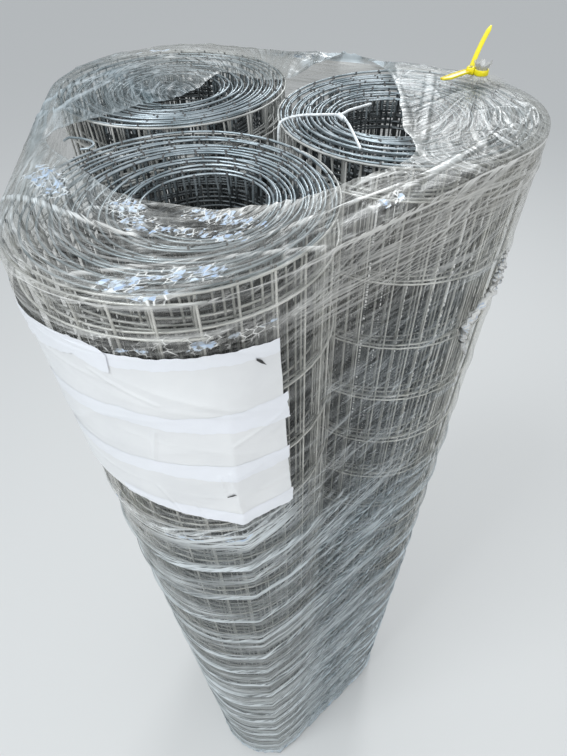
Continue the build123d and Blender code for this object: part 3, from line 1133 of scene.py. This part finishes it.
# Millimetres outwards, across and up from the middle of the side roll's end
tie_points = [
    (116.4, 0, -68), (116.6, 0, -30), (116.4, 1, -4), (115, 2, 4), (106, 2.5, 6.2), (95, 1, 7),
    (82, -1.5, 6.4), (70, -2, 5), (64, -1, 3.5),
]
tie_path = side_middle + np.divide(tie_points, 1000) @ np.array([tie_out, tie_side, up_right])
strands = [wire_tube(smooth_path(tie_path, 90), tie_radius, 8, hint=tie_side)]
knot_turn = np.linspace(0, 3 * full_turn, 60)
knot_run = unit(np.array([0.0035, -0.0095, 0.0]))
knot_side = np.cross(up_right, knot_run)
for phase, end in ((0, (0.0563, -0.0548, 1.5022)), (math.pi, (0.0782, 0.0444, 1.4990))):
    spin = np.outer(np.cos(knot_turn + phase), up_right) + np.outer(np.sin(knot_turn + phase), knot_side)
    knot = tie_path[-1] + np.outer(np.linspace(-0.001, 0.010, 60), knot_run) + 0.00115 * spin
    strands.append(wire_tube(knot, tie_radius, 6, hint=(0.9, 0.1, 0.3)))
    last = knot[-1] if phase == 0 else knot[0]
    middle = (last * 2 + np.array(end)) / 3 + 0.0015 * up_right
    strands.append(wire_tube(smooth_path([last, middle, end], 40), tie_radius, 8, hint=(0.3, 0.1, 0.9)))
new_piece("tie_wire_twisted", "tie_wire", strands, [pale_wire_finish()])

# %% Loose wire end
hook = [
    (-0.178, -0.013, 1.4975), (-0.1717, -0.0165, 1.5015), (-0.16, -0.022, 1.5025), (-0.15, -0.029, 1.503),
    (-0.1465, -0.0355, 1.5028), (-0.15, -0.041, 1.5022), (-0.157, -0.0395, 1.5012),
]
loose_end = wire_tube(smooth_path(hook, 50), wire_radius, 6, hint=(0.1, 0.2, 0.9))
new_piece("loose_wire_end", "roll_front", [loose_end], wire_finishes)

# %% [markdown]
# ## The paper label
# A sheet of white paper lies on the film, over the front roll's crease, and strips of tape hold it. It is
# cut to the place it has on the film: along the film and up. Each strip is a patch like the sheet, a
# little further out. Paper shows its folds by soft shade, so it gets folds in its mesh.

# %% Paper finish
def paper_finish(name, colour, shade, roughness, coat):
    """Paper or tape with soft creases and a faint mottle."""
    paper = new_finish(name)
    place = paper.place()
    mottle = paper.noise(place, 24, 4)
    return paper.made({
        "Base Color": paper.blended(mottle.ranged(0.3, 0.7), colour, shade),
        "Roughness": roughness, "Coat Weight": coat, "Coat Roughness": 0.15,
        "Normal": paper.bump(mottle + paper.noise(place, 420) * 0.05, 0.35, 0.002),
    })


label_paper = paper_finish("label_paper", (0.765, 0.77, 0.77), (0.70, 0.705, 0.71), 0.55, 0.1)
label_tape = paper_finish("label_tape", (0.80, 0.815, 0.86), (0.755, 0.77, 0.80), 0.3, 0.3)
# Near-black paper for the tear and the slit: painted shade where the gaps would show the dark inside.
gap_painted_shade = paper_finish("gap_painted_shade", (0.06, 0.06, 0.06), (0.03, 0.03, 0.03), 0.8, 0.0)
print("label finishes", [each.name for each in (label_paper, label_tape, gap_painted_shade)])

# %% Patches on the film
degree_share = 0.002  # metres along the front roll's side for one degree

# Sharp creases in the paper, as lines between (metres along, height) points
label_creases = [
    ((0.5222, 1.392), (0.5152, 1.359)), ((0.568, 1.340), (0.576, 1.258)), ((0.560, 1.338), (0.562, 1.318)),
    ((0.596, 1.330), (0.616, 1.312)), ((0.536, 1.300), (0.544, 1.272)), ((0.510, 1.322), (0.524, 1.284)),
    ((0.574, 1.372), (0.612, 1.386)), ((0.490, 1.445), (0.530, 1.420)),
]


def label_patch(name, left, right, low, high, lift, material, grid, seed=0, ragged=0.0):
    """A patch of paper on the film over the front roll. low and high go through (degrees, height) points,
    and left and right are degrees, or go through (share of the height, degrees) points."""
    columns, rows = grid
    random = np.random.default_rng(seed)
    share = np.linspace(0, 1, rows)[:, None]
    left, right = (np.interp(share, *zip(*side)) if isinstance(side, list) else side
                   for side in (left, right))
    torn = np.cumsum(random.normal(0, ragged, (rows, 1)), axis=0)
    right = right + torn - torn.mean()
    degrees = left + (right - left) * np.linspace(0, 1, columns)[None, :]
    bottom, top = (np.interp(degrees, *zip(*edge)) for edge in (low, high))
    uneven = 0.0005 * np.sin(degrees * 0.55 + seed) + 0.0003 * np.sin(degrees * 1.7 + 2 * seed)
    bottom, top = bottom + uneven, top + 0.7 * uneven[:, ::-1]
    height = bottom + (top - bottom) * share
    run = run_at(front_roll, degrees)
    place, _ = film_wall(run, height)
    fold = creases(run, height, 31, 5, 8, 26, 5)
    swell = ridges(run, height, 32, (6, 16), (-2, 2))
    along = degrees * degree_share
    pressed = sum(near(off_line(along, height, *line), 0, 0.0011) for line in label_creases)
    out = lift + 0.0008 * fold + 0.0007 * swell + 0.0007 * pressed + random.uniform(0, 0.0002)
    place[..., :2] += unit(place[..., :2] - front_roll.centre) * out[..., None]
    return new_piece(name, "paper_label", [sheet_part(place, False)], [material])


# %% Lay the sheet
label_low = [(190, 1.3135), (229, 1.3025), (238, 1.2970), (248.7, 1.2930), (262, 1.2840), (274.5, 1.2740),
             (286, 1.2635), (298, 1.2625), (307, 1.2575), (310, 1.2580)]
label_high = [(190, 1.462), (230, 1.4635), (254, 1.4627), (267, 1.460), (291, 1.458), (306, 1.4545)]
label_end = [(0, 309.3), (0.4, 307.2), (1, 305.2)]
label = label_patch(
    "paper_label_sheet", label_from, label_end, label_low, label_high, 0.0007, label_paper, (170, 120)
)

# %% Tape the label down
for name, left, right, low, high, seed, ragged in (
    ("top", 252, 305.4, [(252, 1.4525), (280, 1.4505), (305, 1.445)],
     [(252, 1.4640), (267, 1.4615), (291, 1.4595), (305, 1.4560)], 2, 0.0),
    ("middle", 215, 308.2, [(215, 1.396), (253, 1.4005), (267, 1.3935), (285, 1.387), (308, 1.376)],
     [(215, 1.410), (251, 1.4145), (267, 1.4075), (290, 1.405), (308, 1.4035)], 3, 0.22),
    ("lower", 215, 308.0, [(215, 1.342), (256, 1.3425), (279, 1.3315), (308, 1.3255)],
     [(215, 1.358), (256, 1.358), (280, 1.351), (308, 1.3425)], 4, 0.06),
    ("foot", 238, 309.6, [(at, height - 0.0006) for at, height in label_low[2:]],
     [(238, 1.3090), (262, 1.2985), (275, 1.2895), (286, 1.2820), (309, 1.2785)], 5, 0.05),
):
    label_patch("label_tape_" + name, left, right, low, high, 0.0009, label_tape, (110, 14), seed, ragged)

label_patch(
    "label_sticker", 214, [(0, 252.4), (0.1, 252.9), (0.85, 253.8), (0.95, 253.2), (1, 251.8)],
    [(214, 1.4440), (229, 1.4480), (241, 1.4545), (247, 1.4500), (253, 1.4455)],
    [(214, 1.4695), (230, 1.4712), (244, 1.4725), (250, 1.4685), (254, 1.4650)],
    0.0015, label_tape, (70, 30),
)

# %% Paint shade into a tear and a slit in the paper
for name, low, high in (
    ("tear", [(296.9, 1.4462), (300.2, 1.4385)], [(296.9, 1.4478), (298.6, 1.4455), (300.2, 1.4390)]),
    ("slit", [(281.4, 1.3088), (285.2, 1.3128)], [(281.4, 1.3100), (283.4, 1.3127), (285.2, 1.3137)]),
):
    label_patch("label_" + name, low[0][0], low[1][0], low, high, 0.0017, gap_painted_shade, (12, 5))
